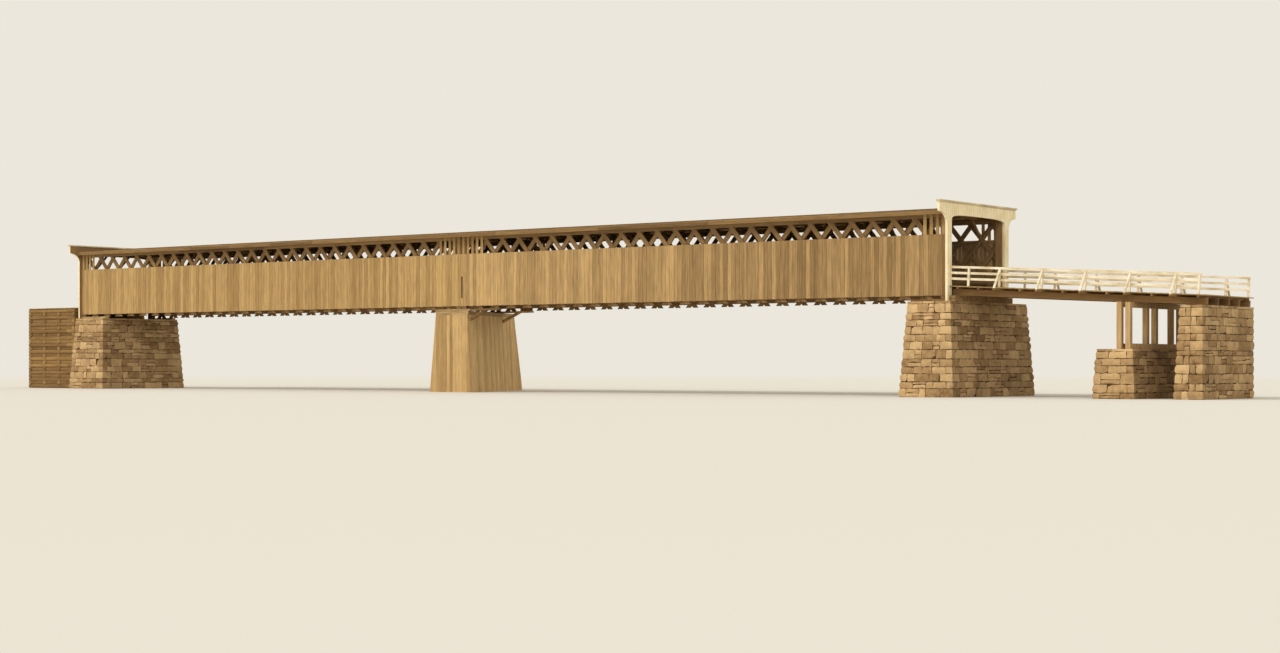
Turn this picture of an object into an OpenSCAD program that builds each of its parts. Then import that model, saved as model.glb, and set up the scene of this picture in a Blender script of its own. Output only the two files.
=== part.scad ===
// Covered lattice bridge with two river spans, a white boarded portal at each end,
// stone piers, a boarded timber crib in mid-river and a railed trestle approach.
// A scale model at 1:10, so one real metre is 100 mm here. Z = 0 is the river bed at the
// piers, Y = 0 the middle of the road and X = 0 the middle of the crib pier's front face.
// The near end is at +X and the front wall faces -Y.

/* [Trusses] */
// Distance between lattice crossings along the bridge
pitch = 139; // [120:1:150]
// Height between two rows of lattice crossings
row_rise = 82.8; // [76:0.2:92]
// Rows of half diamonds between the bottom and top chords
rows = 5; // [3:2:7]
// Bays in the span between the crib pier and the near portal
near_bays = 26; // [12:1:30]
// Bays in the span between the crib pier and the far portal
far_bays = 28; // [12:1:32]
// Width of a lattice plank
plank_w = 28; // [20:1:32]
// Thickness of every truss plank
plank_t = 8; // [5:0.5:10]
// Depth of a chord plank
chord_h = 28; // [20:1:34]
// Length of plank left below the lowest crossings
tail = 32; // [28:1:50]
// Length of plank left above the highest crossings
head = 36; // [14:1:40]
// Width of the posts that close each truss
end_post_w = 42; // [40:1:60]
// Distance of the joint between the spans from the middle of the crib pier's front
joint_offset = 72; // [0:1:80]
// Gap between the end posts of the two spans
joint_gap = 6; // [2:1:12]

/* [Road] */
// Clear width between the two trusses
clear_w = 620; // [520:5:700]
// Width of a floor beam
beam_w = 20; // [12:1:24]
// Depth of a floor beam
beam_h = 22; // [14:1:26]
// Thickness of the deck planks
deck_t = 6; // [4:0.5:10]
// Gap between the deck and the inner faces of the trusses
deck_gap = 2; // [1:0.5:5]
// Side of the square wheel guards
guard = 12; // [8:1:18]
// Width of the flat bracing planks under the floor and the roof
lateral_w = 14; // [10:1:20]
// Thickness of each layer of bracing planks
lateral_t = 5; // [3:0.5:6]
// Truss bays crossed by one bracing cross
lateral_bays = 4; // [2:1:6]

/* [Walls] */
// Thickness of the vertical siding boards
siding_t = 3; // [2:0.5:5]
// Height of the lower edge of the siding above the plank tails
siding_lift = 18; // [2:1:26]
// Height of the siding
siding_h = 343; // [200:1:360]
// Depth of the rail that carries the top of the siding
nailer_h = 18; // [10:1:26]
// Width of the slot in the front siding at the joint of the spans
slot_w = 16; // [8:1:24]
// Height of that slot
slot_h = 142; // [60:1:200]
// Height of the foot of the slot above the lower edge of the siding
slot_lift = 54; // [20:1:100]
// Width of one vertical strip in the clerestory
strip_w = 20; // [12:1:28]
// Distance between clerestory strips
strip_pitch = 40; // [30:1:60]
// Number of strips at the near portal
near_strips = 4; // [1:1:6]
// Number of strips at the far portal
far_strips = 4; // [1:1:12]
// Number of strips on each side of the joint of the spans
joint_strips = 5; // [1:1:8]

/* [Roof] */
// Overhang of the roof past the siding
eave = 52; // [30:1:70]
// Rise of each roof slope for each 100 mm across
roof_slope = 9; // [8:0.2:20]
// Thickness of the roof boards and shingles together
roof_t = 6; // [4:0.5:10]
// Depth of a rafter
rafter_h = 16; // [13:0.5:24]
// Width of a rafter
rafter_w = 10; // [6:1:14]
// Width of a tie beam
tie_w = 16; // [10:1:22]
// Depth of a tie beam
tie_h = 11; // [8:0.5:11]
// Depth of a knee brace
knee_w = 14; // [8:1:20]
// Thickness of the fascia board at each eave
fascia_t = 2.5; // [2:0.5:5]
// Depth of the fascia board
fascia_h = 20; // [12:1:26]
// Width of each ridge board
ridge_w = 20; // [12:1:30]
// Thickness of the ridge boards
ridge_t = 2.5; // [2:0.5:5]

/* [Portals] */
// Thickness of the portal timbers along the bridge
portal_t = 14; // [10:1:24]
// Width of a portal post
portal_post_w = 50; // [36:1:60]
// Distance of the posts' inner faces past the trusses' inner faces
portal_reveal = 5; // [0:1:12]
// Height of the doorway's straight sides above the deck
spring_h = 360; // [345:1:370]
// Rise of the doorway's arch
arch_rise = 38; // [20:1:44]
// Squareness of the arch's shoulders, where 2 is an ellipse
arch_power = 4; // [2:0.5:8]
// Length of each wing past its post
wing = 88; // [70:1:120]
// Radius of the hollow cove under each wing
cove_r = 68; // [40:1:69]
// Height of the square fillet between the cove and the wing
cove_fillet = 3; // [1:0.5:8]
// Depth of a wing
wing_h = 55; // [45:1:62]
// Height of the parapet's top above the deck
parapet_h = 465; // [455:1:500]
// Thickness of the cornice on the parapet
cornice_h = 9; // [5:1:14]
// Projection of the cornice past the parapet
cornice_out = 7; // [3:1:12]

/* [Piers] */
// Height of the stone piers, which is the seat of the bed timbers
seat_z = 536; // [400:1:600]
// Thickness of the bed timbers under the trusses
bed_h = 12; // [8:1:24]
// Width of a bed timber
bed_w = 40; // [24:1:60]
// Batter of the stone piers from top to foot
batter = 36; // [0:1:60]
// Length of the near pier's top along the bridge
near_pier_len = 280; // [200:5:340]
// Distance that the near pier reaches past the portal
near_pier_out = 50; // [40:1:80]
// Distance that the near pier reaches past the front wall
near_pier_front = 50; // [36:1:80]
// Distance that the near pier reaches past the rear wall
near_pier_rear = 190; // [40:5:220]
// Length of the far pier's top along the bridge
far_pier_len = 330; // [240:5:380]
// Distance that the far pier reaches past the portal
far_pier_out = 53; // [40:1:120]
// Distance that the far pier reaches past the front wall
far_pier_front = 20; // [10:1:80]
// Distance that the far pier reaches past the rear wall
far_pier_rear = 30; // [20:1:80]
// Length of the crib pier's top along the bridge
crib_len = 285; // [200:5:340]
// Angle by which the crib pier is turned to lie in line with the current
crib_skew = 22.5; // [0:0.5:30]
// Spread of the crib pier's foot towards the far end
crib_far_spread = 50; // [0:1:90]
// Spread of the crib pier's foot towards the near end
crib_near_spread = 25; // [0:1:60]
// Spread of the crib pier's foot towards the rear
crib_rear_spread = 110; // [0:5:160]
// Distance that the crib pier reaches past the front wall
crib_out = 10; // [0:1:40]
// Distance that the crib pier's top reaches past the rear wall
crib_rear = 215; // [0:5:260]
// Side of the square timbers of the crib pier's cap
cap_side = 26; // [16:1:32]
// Distance from the crib pier to the outer ends of the struts under the trusses
strut_run = 160; // [120:5:230]
// Fall of a strut over that distance
strut_drop = 68; // [50:1:120]
// Width of a strut
strut_w = 20; // [12:1:30]
// Depth of a strut where it is cut off level under its bed timber
strut_cut = 41; // [20:1:60]
// Distance that the bed timbers reach past the crib pier towards the near portal
bed_reach = 260; // [160:5:300]

/* [Near approach] */
// Length of the approach from the portal to the shore
approach_len = 1480; // [1200:10:1700]
// Drop of the road over that length
approach_drop = 78; // [0:1:100]
// Depth of a stringer
stringer_h = 35; // [24:1:44]
// Width of a stringer
stringer_w = 20; // [12:1:26]
// Number of stringers
stringers = 5; // [3:1:7]
// Distance of the outer stringers from the deck's edges
stringer_inset = 45; // [0:1:80]
// Distance between cross beams
cross_pitch = 127; // [90:0.5:140]
// Depth of a cross beam
cross_h = 12; // [8:1:16]
// Distance of the first cross beam from the portal
first_cross = 52; // [10:0.5:60]
// Length of the long cross beams past the deck
outrigger = 60; // [40:1:80]
// Side of the square railing posts
rail_post = 11; // [8:1:16]
// Height of the railing above the deck
rail_h = 110; // [80:1:120]
// Height at which a raking brace meets its post
rail_brace_h = 99; // [50:1:110]
// Distance from the portal to the middle of the plain post beside it
first_post = 116; // [40:1:200]
// Depth of a rail
rail_d = 13; // [8:1:16]
// Thickness of a rail
rail_t = 5; // [3:0.5:8]
// Depth of the notch that lets a rail or a brace into its post
rail_notch = 2; // [1:0.5:4]
// Number of rails
rails = 3; // [2:1:4]
// Distance of the trestle bent from the portal
bent_at = 1035; // [800:5:1080]
// Side of the square trestle timbers
bent_side = 28; // [20:1:40]
// Distance between the two rows of posts in the bent
bent_pitch = 50; // [44:1:80]
// Number of posts in a row
bent_posts = 3; // [2:1:5]
// Height of the stone footing under the bent
footing_h = 265; // [60:5:320]
// Distance that the footing reaches from the middle of the bent towards the portal
footing_near = 154; // [60:1:200]
// Distance that the footing reaches from the middle of the bent towards the shore
footing_far = 60; // [56:1:120]
// Length of the shore abutment along the bridge
shore_len = 130; // [80:5:200]

/* [Far approach] */
// Length of the log crib beyond the far pier
crib_run = 560; // [300:5:700]
// Thickness of a log
log_d = 32; // [24:1:40]
// Least depth by which a log is notched over the one below
log_notch = 5; // [2:1:9]
// Number of cross logs in a course
cross_logs = 4; // [3:1:6]

/* [Hidden] */
eps = 0.01;

// Stations along the bridge
x_joint = joint_offset;
near_len = near_bays * pitch;
far_len = far_bays * pitch;
x_near = x_joint + near_len;
x_far = x_joint - far_len;

// Faces across the bridge, as distances from the middle of the road
y_in = clear_w / 2;
y_web = y_in + plank_t;
y_mid = y_web + plank_t;
y_out_web = y_mid + plank_t;
y_out = y_out_web + plank_t;
y_skin = y_out + siding_t;

// Levels
z_tail = seat_z + bed_h;
z_row0 = z_tail + tail;
z_top_row = z_row0 + rows * row_rise;
z_head = z_top_row + head;
z_floor = z_row0 + chord_h / 2;
z_deck_under = z_floor + beam_h;
z_deck = z_deck_under + deck_t;
z_siding = z_tail + siding_lift;
z_siding_top = z_siding + siding_h;

// Roof section
slope = roof_slope / 100;
y_eave = y_skin + eave;
function roof_under(y) = z_head + rafter_h + (y_in - abs(y)) * slope;
z_ridge = roof_under(0) + roof_t;

// Portal section
y_post_in = y_in + portal_reveal;
y_post_out = y_post_in + portal_post_w;
y_cove = y_post_out + cove_r;
y_wing = y_post_out + wing;
z_spring = z_deck + spring_h;
z_parapet = z_deck + parapet_h;
z_wing = z_parapet - wing_h;
z_header = z_wing - cove_fillet - cove_r;

// Crib pier section: its plan is a parallelogram between two distances across the road
y_crib = y_skin + crib_out;
y_crib_rear = y_skin + crib_rear;
z_crib_top = seat_z - cap_side;
function crib_x(y) = -(y + y_crib) * tan(crib_skew);

// Approach section, in a frame that starts at the portal's foot and slopes with the road
y_deck_edge = y_skin;
z_cross = z_deck - deck_t - cross_h;
z_stringer = z_cross - stringer_h;
approach_angle = asin(approach_drop / approach_len);
x_approach = x_near + portal_t;
function road_z(t, z) = z - t * tan(approach_angle);
crosses = floor((approach_len - first_cross) / cross_pitch);
rail_bays = floor(crosses / 2);
function cross_at(i) = first_cross + i * cross_pitch;
function post_at(i) = cross_at(2 * i + 2);

timber = "#7a5c3c";
dark_timber = "#5e452c";
siding_brown = "#a98a5f";
roof_brown = "#6d5236";
paint = "#ece2c6";
stone = "#b79c72";

// A plate whose outline lies in the XZ plane, between two distances from the front.
module plate_xz(y0, y1) {
    translate([0, y1, 0])
        rotate([90, 0, 0])
            linear_extrude(y1 - y0)
                children();
}

// A plate whose outline, drawn as [Y, Z], lies across the bridge between two stations.
module plate_yz(x0, x1) {
    translate([x0, 0, 0])
        rotate([90, 0, 90])
            linear_extrude(x1 - x0)
                children();
}

module box(x0, x1, y0, y1, z0, z1) {
    translate([x0, y0, z0])
        cube([x1 - x0, y1 - y0, z1 - z0]);
}

module front_side() {
    mirror([0, 1, 0])
        children();
}

module both_sides() {
    children();
    front_side()
        children();
}

// Lattice planks. A plank of a family leans by lean times half a pitch for each row.
// Its centre line is cut where it meets the tail, the head or the end posts.
bar_half = plank_w / (2 * sin(atan(row_rise / (pitch / 2))));
run = pitch / 2 / row_rise;

function bar_x(x_foot, lean, z) = x_foot + lean * run * (z - z_row0);
function bar_z(x_foot, lean, x) = z_row0 + (x - x_foot) / (lean * run);

module lattice_bar(x_foot, lean, x0, x1) {
    za = bar_z(x_foot, lean, x0);
    zb = bar_z(x_foot, lean, x1);
    lo = max(z_tail, min(za, zb));
    hi = min(z_head, max(za, zb));
    if (hi - lo > chord_h)
        polygon([
            [bar_x(x_foot, lean, lo) - bar_half, lo], [bar_x(x_foot, lean, lo) + bar_half, lo],
            [bar_x(x_foot, lean, hi) + bar_half, hi], [bar_x(x_foot, lean, hi) - bar_half, hi]
        ]);
}

module lattice_family(x_start, bays, lean) {
    x0 = x_start + end_post_w / 2;
    x1 = x_start + bays * pitch - end_post_w / 2;
    for (i = [-rows:bays + rows])
        lattice_bar(x_start + i * pitch, lean, x0, x1);
}

// Two layers of planks leaning opposite ways, pinned face to face at every crossing.
module lattice(x_start, bays) {
    color(timber) {
        plate_xz(y_web, y_mid)
            lattice_family(x_start, bays, 1);
        plate_xz(y_mid, y_out_web)
            lattice_family(x_start, bays, -1);
    }
}

module front_lattice_near() {
    front_side()
        lattice(x_joint, near_bays);
}

module front_lattice_far() {
    front_side()
        lattice(x_far, far_bays);
}

module rear_lattice_near() {
    lattice(x_joint, near_bays);
}

module rear_lattice_far() {
    lattice(x_far, far_bays);
}

// Chord planks clasp the lattice from both faces, in one length for each span.
module chord(z) {
    for (y = [y_in, y_out_web], span = [[x_joint, x_near], [x_far, x_joint]])
        box(span[0] + end_post_w, span[1] - end_post_w, y, y + plank_t, z - chord_h / 2, z + chord_h / 2);
}

module lower_chords() {
    color(timber)
        both_sides() {
            chord(z_row0);
            chord(z_row0 + row_rise);
        }
}

module top_chords() {
    color(timber)
        both_sides()
            chord(z_head - chord_h / 2);
}

// A pair of posts clasps the plank ends at each end of each span.
module truss_end_posts() {
    half_gap = joint_gap / 2;
    ends = [
        [x_near - end_post_w, x_near], [x_joint + half_gap, x_joint + end_post_w],
        [x_joint - end_post_w, x_joint - half_gap], [x_far, x_far + end_post_w]
    ];
    color(timber)
        both_sides()
            for (e = ends, y = [y_in, y_out_web])
                box(e[0], e[1], y, y + plank_t, z_tail, z_head);
}

// Floor beams lie on the bottom chord and pass through the lattice in mid-bay.
module floor_beams() {
    color(dark_timber)
        for (i = [0:near_bays + far_bays - 1]) {
            x = x_far + (i + 0.5) * pitch;
            box(x - beam_w / 2, x + beam_w / 2, -y_out, y_out, z_floor, z_deck_under);
        }
}

// Flat bracing between the trusses: planks of one layer lean one way, of the next the other.
module brace_plank(x0, x1, lean) {
    half = lateral_w / (2 * sin(atan(clear_w / (x1 - x0))));
    xa = lean > 0 ? x0 + half : x1 - half;
    xb = lean > 0 ? x1 - half : x0 + half;
    polygon([[xa - half, -y_in], [xa + half, -y_in], [xb + half, y_in], [xb - half, y_in]]);
}

module brace_layer(lean) {
    for (span = [[x_joint, near_bays], [x_far, far_bays]]) {
        crosses_here = floor(span[1] / lateral_bays);
        for (i = [0:crosses_here - 1])
            brace_plank(
                span[0] + i * lateral_bays * pitch, span[0] + (i + 1) * lateral_bays * pitch, lean
            );
    }
}

module bracing(z_top) {
    color(dark_timber) {
        translate([0, 0, z_top - lateral_t])
            linear_extrude(lateral_t)
                brace_layer(1);
        translate([0, 0, z_top - 2 * lateral_t])
            linear_extrude(lateral_t)
                brace_layer(-1);
    }
}

module floor_bracing() {
    bracing(z_floor);
}

module roof_bracing() {
    bracing(z_head);
}

module roadway_deck() {
    y = y_in - deck_gap;
    color(dark_timber)
        box(x_far, x_near + portal_t, -y, y, z_deck_under, z_deck);
}

module wheel_guards() {
    y = y_in - deck_gap;
    color(dark_timber)
        both_sides()
            box(x_far, x_near, y - guard, y, z_deck, z_deck + guard);
}

// Tie beams cross from chord to chord at every second crossing of the lattice, clear of
// the end posts at the joint of the spans.
function tie_stations() = [
    for (i = [1:near_bays + far_bays - 1]) if (i % 2 != far_bays % 2) x_far + i * pitch
];

module tie_beams() {
    color(dark_timber)
        for (x = tie_stations())
            box(x - tie_w / 2, x + tie_w / 2, -y_out, y_out, z_head, z_head + tie_h);
}

// Each knee brace runs from a lattice crossing up to the underside of a tie beam.
module knee_braces() {
    z_foot = z_row0 + (rows - 1) * row_rise;
    reach = z_head - z_foot;
    cut = knee_w / sin(45);
    thick = tie_w * 0.6;
    color(dark_timber)
        both_sides()
            for (x = tie_stations())
                plate_yz(x - thick / 2, x + thick / 2)
                    polygon([
                        [y_web, z_foot - cut / 2], [y_web, z_foot + cut / 2],
                        [y_web - reach + cut / 2, z_head], [y_web - reach - cut / 2, z_head]
                    ]);
}

// Each rafter has a level seat cut over the chord and a tail under the eave.
module rafter_half() {
    u_seat = z_head;
    foot = roof_under(y_out) - rafter_h;
    tip = roof_under(y_eave) - rafter_h;
    polygon([
        [0, roof_under(0) - rafter_h], [y_in, u_seat], [y_out, u_seat], [y_out, foot],
        [y_eave, tip], [y_eave, roof_under(y_eave)], [0, roof_under(0)]
    ]);
}

module rafters() {
    color(dark_timber)
        for (i = [0:near_bays + far_bays - 1]) {
            x = x_far + (i + 0.5) * pitch;
            plate_yz(x - rafter_w / 2, x + rafter_w / 2) {
                rafter_half();
                mirror([1, 0])
                    rafter_half();
            }
        }
}

module roof_slab() {
    color(roof_brown)
        plate_yz(x_far, x_near)
            polygon([
                [0, roof_under(0)], [y_eave + fascia_t, roof_under(y_eave + fascia_t)],
                [y_eave + fascia_t, roof_under(y_eave + fascia_t) + roof_t], [0, z_ridge]
            ]);
}

module front_roof() {
    front_side()
        roof_slab();
}

module rear_roof() {
    roof_slab();
}

// Fascia boards close the rafter tails, under the edge of the roof boards.
module fascia_boards() {
    z1 = roof_under(y_eave + fascia_t);
    both_sides()
        box(x_far, x_near, y_eave, y_eave + fascia_t, z1 - fascia_h, z1);
}

module ridge_boards() {
    drop = ridge_w * slope;
    plate_yz(x_far, x_near)
        polygon([
            [-ridge_w, z_ridge - drop], [0, z_ridge], [ridge_w, z_ridge - drop],
            [ridge_w, z_ridge - drop + ridge_t], [0, z_ridge + ridge_t],
            [-ridge_w, z_ridge - drop + ridge_t]
        ]);
}

module roof_trim() {
    color(roof_brown) {
        fascia_boards();
        ridge_boards();
    }
}

module siding(x0, x1) {
    color(siding_brown)
        box(x0, x1, y_out, y_skin, z_siding, z_siding_top);
}

// The front siding has an open slot beside the joint of the two spans.
module front_siding_near() {
    slot_z = z_siding + slot_lift;
    color(siding_brown)
        front_side()
            difference() {
                siding(x_joint, x_near);
                box(x_joint - eps, x_joint + slot_w, y_out - eps, y_skin + eps, slot_z, slot_z + slot_h);
            }
}

module front_siding_far() {
    front_side()
        siding(x_far, x_joint);
}

module rear_siding_near() {
    siding(x_joint, x_near);
}

module rear_siding_far() {
    siding(x_far, x_joint);
}

// Rails on the outer face of the lattice carry the top of the siding.
module siding_rails() {
    color(timber)
        both_sides()
            for (span = [[x_joint, x_near], [x_far, x_joint]])
                box(
                    span[0] + end_post_w, span[1] - end_post_w, y_out_web, y_out,
                    z_siding_top - nailer_h, z_siding_top
                );
}

// Vertical strips close the clerestory beside the portals and over the joint.
module strip(x) {
    z1 = roof_under(y_skin) - rafter_h;
    box(x - strip_w / 2, x + strip_w / 2, y_out, y_skin, z_siding_top, z1);
}

module clerestory_strips() {
    color(siding_brown)
        both_sides() {
            for (i = [0:near_strips - 1])
                strip(x_near - (i + 0.5) * strip_pitch);
            for (i = [0:far_strips - 1])
                strip(x_far + (i + 0.5) * strip_pitch);
            for (i = [-joint_strips:joint_strips - 1])
                strip(x_joint + (i + 0.5) * strip_pitch);
        }
}

// Portals: the same frame at both ends, drawn for the near end and mirrored for the far.
module at_far_end() {
    translate([x_near + x_far, 0, 0])
        mirror([1, 0, 0])
            children();
}

module portal_posts() {
    color(paint)
        both_sides()
            box(x_near, x_near + portal_t, y_post_in, y_post_out, seat_z, z_header);
}

// The doorway's outline above the posts: straight sides under an arch whose shoulders
// are squarer than an ellipse's.
function arch_y(a) = y_post_in * sign(cos(a)) * pow(abs(cos(a)), 2 / arch_power);
function arch_z(a) = z_spring + arch_rise * pow(sin(a), 2 / arch_power);

module doorway_2d() {
    steps = 36;
    polygon([
        [-y_post_in, z_header - eps], [y_post_in, z_header - eps],
        for (i = [0:steps]) [arch_y(i * 180 / steps), arch_z(i * 180 / steps)]
    ]);
}

// The boarded front over the doorway, with a wing over a hollow cove on each side.
module portal_header() {
    color(paint)
        plate_yz(x_near, x_near + portal_t)
            difference() {
                union() {
                    translate([-y_cove, z_header])
                        square([2 * y_cove, z_wing - z_header]);
                    translate([-y_wing, z_wing])
                        square([2 * y_wing, wing_h]);
                }
                doorway_2d();
                for (s = [-1, 1])
                    translate([s * y_cove, z_header])
                        circle(r = cove_r, $fn = 96);
            }
}

module portal_cornice() {
    color(paint)
        box(
            x_near - cornice_out, x_near + portal_t + cornice_out,
            -y_wing - cornice_out, y_wing + cornice_out, z_parapet, z_parapet + cornice_h
        );
}

module near_portal_posts() {
    portal_posts();
}

module near_portal_header() {
    portal_header();
}

module far_portal_posts() {
    at_far_end()
        portal_posts();
}

module far_portal_header() {
    at_far_end()
        portal_header();
}

module portal_cornices() {
    portal_cornice();
    at_far_end()
        portal_cornice();
}

// A pier with its top between two stations, and a foot that spreads by its own
// amount on each side: far end, near end, front and rear.
module battered(x0, x1, y0, y1, h, spread) {
    intersection() {
        plate_xz(y0 - spread[2], y1 + spread[3])
            polygon([[x0 - spread[0], 0], [x1 + spread[1], 0], [x1, h], [x0, h]]);
        plate_yz(x0 - spread[0], x1 + spread[1])
            polygon([[y0 - spread[2], 0], [y1 + spread[3], 0], [y1, h], [y0, h]]);
    }
}

module near_pier() {
    color(stone)
        battered(
            x_near + near_pier_out - near_pier_len, x_near + near_pier_out,
            -y_skin - near_pier_front, y_skin + near_pier_rear, seat_z,
            [batter, batter, batter, batter]
        );
}

module far_pier() {
    color(stone)
        battered(
            x_far - far_pier_out, x_far - far_pier_out + far_pier_len,
            -y_skin - far_pier_front, y_skin + far_pier_rear, seat_z,
            [batter, batter, batter, batter]
        );
}

// The crib pier is turned about the middle of its front face. Its long sides lean in to
// the top, its front is plumb and its rear slopes down against the current.
module crib_body() {
    half = crib_len / 2 * cos(crib_skew);
    reach = (y_crib + y_crib_rear + crib_rear_spread + crib_len) / cos(crib_skew);
    intersection() {
        translate([0, -y_crib, 0])
            rotate([0, 0, crib_skew])
                plate_xz(-reach, reach)
                    polygon([
                        [-half - crib_far_spread, 0], [half + crib_near_spread, 0],
                        [half, z_crib_top], [-half, z_crib_top]
                    ]);
        plate_yz(-reach, reach)
            polygon([
                [-y_crib, 0], [y_crib_rear + crib_rear_spread, 0], [y_crib_rear, z_crib_top],
                [-y_crib, z_crib_top]
            ]);
    }
}

module crib_pier() {
    color(siding_brown)
        crib_body();
}

// The plan of the crib's top, drawn in by an inset on every side.
module crib_plan(inset) {
    y0 = inset - y_crib;
    y1 = y_crib_rear - inset;
    half = crib_len / 2 - inset / cos(crib_skew);
    polygon([
        [crib_x(y0) - half, y0], [crib_x(y0) + half, y0], [crib_x(y1) + half, y1],
        [crib_x(y1) - half, y1]
    ]);
}

// A strut rises from the crib's near side to a bed timber. It is drawn with its foot
// inside the crib, and the crib's side then cuts it to its bearing.
module truss_strut(y) {
    fall = strut_drop / strut_run;
    seat_depth = 12;
    out = crib_len / 2 + strut_run;
    foot = crib_len / 2 - seat_depth;
    z_foot = seat_z - (out - foot) * fall;
    difference() {
        translate([crib_x(y), 0, 0])
            plate_xz(y - strut_w / 2, y + strut_w / 2)
                polygon([
                    [foot, z_foot], [out, seat_z], [out - strut_cut, seat_z],
                    [foot, z_foot + strut_cut * fall]
                ]);
        crib_body();
    }
}

// The cap is a frame of timbers round the crib's top, and struts carry the near span
// beside it, where the end of the span falls short of the turned crib.
module crib_cap() {
    color(timber) {
        translate([0, 0, z_crib_top])
            linear_extrude(cap_side)
                difference() {
                    crib_plan(0);
                    crib_plan(cap_side);
                }
        for (y = [-y_mid, y_mid])
            truss_strut(y);
    }
}

// Bed timbers spread the load of the trusses, and sills carry the approach stringers.
module bed_timbers() {
    near_x0 = x_near + near_pier_out - near_pier_len;
    far_x1 = x_far - far_pier_out + far_pier_len;
    color(dark_timber) {
        for (y = [-y_mid, y_mid]) {
            crib_range = [crib_x(y) - crib_len / 2, crib_x(y) + crib_len / 2 + bed_reach];
            for (r = [[near_x0, x_near], [x_far, far_x1], crib_range])
                box(r[0], r[1], y - bed_w / 2, y + bed_w / 2, seat_z, z_tail);
        }
        box(
            x_approach, x_near + near_pier_out, -y_deck_edge, y_deck_edge,
            seat_z, road_z(near_pier_out, z_stringer)
        );
    }
}

// Approach pieces lie in a frame that slopes down with the road from the portal.
module on_road() {
    translate([x_approach, 0, z_deck])
        rotate([0, approach_angle, 0])
            children();
}

module approach_stringers() {
    y0 = stringer_inset - y_deck_edge;
    step = (-2 * y0 - stringer_w) / (stringers - 1);
    color(dark_timber)
        on_road()
            for (i = [0:stringers - 1])
                translate([0, y0 + i * step, z_stringer - z_deck])
                    cube([approach_len, stringer_w, stringer_h]);
}

module approach_cross_beams() {
    color(dark_timber)
        on_road()
            for (i = [0:crosses]) {
                reach = y_deck_edge + (i > 0 && i % 2 == 0 ? outrigger : 0);
                translate([cross_at(i) - cross_h / 2, -reach, z_cross - z_deck])
                    cube([cross_h, 2 * reach, cross_h]);
            }
}

module approach_deck() {
    color(dark_timber)
        on_road()
            translate([0, -y_deck_edge, -deck_t])
                cube([approach_len, 2 * y_deck_edge, deck_t]);
}

// A railing: posts on the deck's edge with rails on their road side. All but the first
// and last post have a raking brace from the end of a long cross beam.
module railing() {
    y_face = y_deck_edge - rail_post;
    y_notch = y_deck_edge - rail_notch;
    rail_step = (rail_h - rail_d) / rails;
    color(paint)
        on_road() {
            for (x = concat(first_post, cross_at(crosses), [for (i = [0:rail_bays - 1]) post_at(i)]))
                translate([x - rail_post / 2, y_face, 0])
                    cube([rail_post, rail_post, rail_h - rail_d / 2]);
            for (i = [0:rail_bays - 1])
                translate([post_at(i) + rail_post / 2, 0, 0])
                    rotate([90, 0, -90])
                        linear_extrude(rail_post)
                            polygon([
                                [-y_notch, rail_brace_h], [-y_notch, rail_brace_h - rail_post],
                                [-y_deck_edge - outrigger + rail_post, -deck_t],
                                [-y_deck_edge - outrigger, -deck_t]
                            ]);
            for (k = [1:rails])
                translate([0, y_face - rail_t + rail_notch, k * rail_step])
                    cube([cross_at(crosses) + rail_post, rail_t, rail_d]);
        }
}

module front_railing() {
    front_side()
        railing();
}

module rear_railing() {
    railing();
}

// The bent: two rows of posts, each under its cap timber and standing on a sill.
module bent_row(at) {
    x0 = x_approach + at - bent_side / 2;
    z_cap_top = road_z(at + bent_side, z_stringer);
    z_cap = z_cap_top - bent_side;
    step = (2 * y_deck_edge - bent_side) / (bent_posts - 1);
    box(x0, x0 + bent_side, -y_deck_edge, y_deck_edge, z_cap, z_cap_top);
    box(x0, x0 + bent_side, -y_deck_edge, y_deck_edge, footing_h, footing_h + bent_side);
    for (i = [0:bent_posts - 1]) {
        y = -y_deck_edge + i * step;
        box(x0, x0 + bent_side, y, y + bent_side, footing_h + bent_side, z_cap);
    }
}

module trestle_bent() {
    color(timber)
        for (s = [-1, 1])
            bent_row(bent_at + s * bent_pitch / 2);
}

module bent_footing() {
    x = x_approach + bent_at;
    color(stone)
        battered(
            x - footing_near, x + footing_far, -y_deck_edge - rail_post, y_deck_edge + rail_post,
            footing_h, [batter / 2, batter / 2, batter / 2, batter / 2]
        );
}

module shore_abutment() {
    x1 = x_approach + approach_len * cos(approach_angle);
    top = z_deck - approach_len * sin(approach_angle) - (z_deck - z_stringer) * cos(approach_angle);
    color(stone)
        battered(
            x1 - shore_len, x1, -y_deck_edge - rail_post, y_deck_edge + rail_post,
            top, [batter, 0, 0, 0]
        );
}

// Far approach: a crib of flatted logs, notched over each other and laid by turns along
// and across the road. The top course carries the deck.
crib_x1 = x_far - far_pier_out - batter;
crib_x0 = crib_x1 - crib_run;
crib_y = y_skin;
courses = 2 * ceil((z_deck_under - log_d) / (log_d - log_notch) / 2) + 1;
course_h = (z_deck_under - log_d) / (courses - 1);

module log(len) {
    rotate([0, 0, 22.5])
        cylinder(d = log_d / cos(22.5), h = len, $fn = 8);
}

module far_crib_logs() {
    color(timber)
        for (c = [0:courses - 1]) {
            z = log_d / 2 + c * course_h;
            if (c % 2 == 0)
                for (y = [-crib_y + log_d / 2, crib_y - log_d / 2])
                    translate([crib_x0, y, z])
                        rotate([0, 90, 0])
                            log(crib_run);
            else
                for (i = [0:cross_logs - 1]) {
                    x = crib_x0 + log_d / 2 + i * (crib_run - log_d) / (cross_logs - 1);
                    translate([x, -crib_y, z])
                        rotate([-90, 0, 0])
                            log(2 * crib_y);
                }
        }
}

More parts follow.
